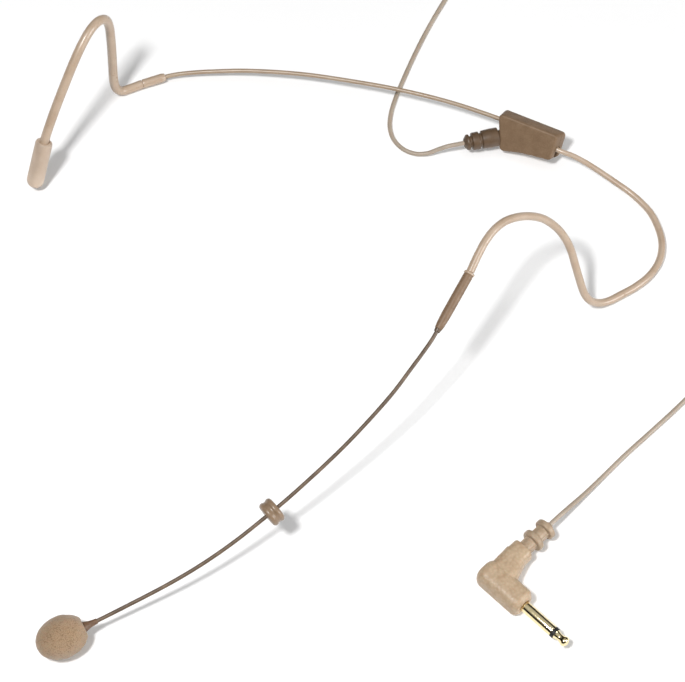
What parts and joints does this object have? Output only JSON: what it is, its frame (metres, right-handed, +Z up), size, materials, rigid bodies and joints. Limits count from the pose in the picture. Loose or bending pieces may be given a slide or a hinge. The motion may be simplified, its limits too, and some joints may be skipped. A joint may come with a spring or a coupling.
{
  "type": "headset microphone",
  "caption": "Behind-the-neck headset microphone with two ear hooks, a swivelling boom with a foam-covered capsule, a splice block and a thin lead ending in a right-angle mono plug.",
  "frame": {"origin": "on the table that the headset stands on, under the middle of its box, the free lead and its plug left out", "axes": "+Z up, -Y the way the wearer looks, +X the wearer's left, where the boom is"},
  "size_m": [0.2324, 0.3238, 0.0488],
  "materials": {
    "foam": "fine open-cell foam",
    "capsule_metal": "satin",
    "black_rubber": "matt",
    "brown_rubber": "satin moulded",
    "boom_coating": "satin",
    "copper": "bright",
    "brass": "turned",
    "tan_soft": "smooth satin",
    "spring_steel": "drawn wire",
    "tan_hard": "fine spark-eroded",
    "board": "solder mask",
    "solder": "bright",
    "lead_jacket": "smooth satin",
    "clear_cap": "translucent soft",
    "plug_tan": "pebbled",
    "gold": "gold plated",
    "black_plastic": "matt"
  },
  "bodies": {
    "headband": {"swivel_bush": "brass", "boom_sleeve": "brown_rubber", "sleeve_collar": "tan_soft", "left_ear_hook": "tan_soft", "left_band_jacket": "tan_soft", "left_spring_wire": "spring_steel", "left_mic_lead": "copper", "block_front_cover": "tan_hard", "block_rear_cover": "tan_hard", "wire_clamp": "brass", "splice_board": "board", "solder_joints": "solder", "cable_ferrule": "brass", "cable_tail": "lead_jacket", "strain_relief": "brown_rubber", "right_band_coat": "tan_soft", "right_spring_wire": "spring_steel", "right_ferrule": "tan_soft", "right_ear_hook": "tan_soft", "end_cap": "clear_cap", "lead_from_block": "lead_jacket", "lead_coil": "lead_jacket", "lead_tie": "black_rubber", "lead_to_plug": "lead_jacket", "plug_body": "plug_tan", "plug_strain_relief": "plug_tan", "plug_sleeve": "gold", "plug_insulator": "black_plastic", "plug_tip": "gold", "plug_rod": "brass"},
    "boom": {"capsule_housing": "capsule_metal", "capsule_grille": "capsule_metal", "electret_capsule": "capsule_metal", "capsule_seal": "black_rubber", "capsule_boot": "brown_rubber", "boom_tube": "boom_coating", "boom_lead": "copper", "swivel_pin": "boom_coating"},
    "sweat_ring": {"sweat_ring": "brown_rubber"},
    "windscreen": {"windscreen": "foam"}
  },
  "joints": [
    {"name": "boom_swivel", "type": "hinge", "parent": "headband", "child": "boom", "pos_m": [0.0538, 0.0187, 0.0367], "axis": [-0.0637, -0.9506, -0.3038], "range_deg": [-60, 0]},
    {"name": "sweat_ring_slide", "type": "slide", "parent": "boom", "child": "sweat_ring", "axis": [-0.4126, -0.8858, -0.2124], "range_m": [-0.004, 0.004]},
    {"name": "windscreen_pull", "type": "slide", "parent": "boom", "child": "windscreen", "axis": [-0.6046, -0.7941, -0.0632], "range_m": [0, 0.012]}
  ]
}
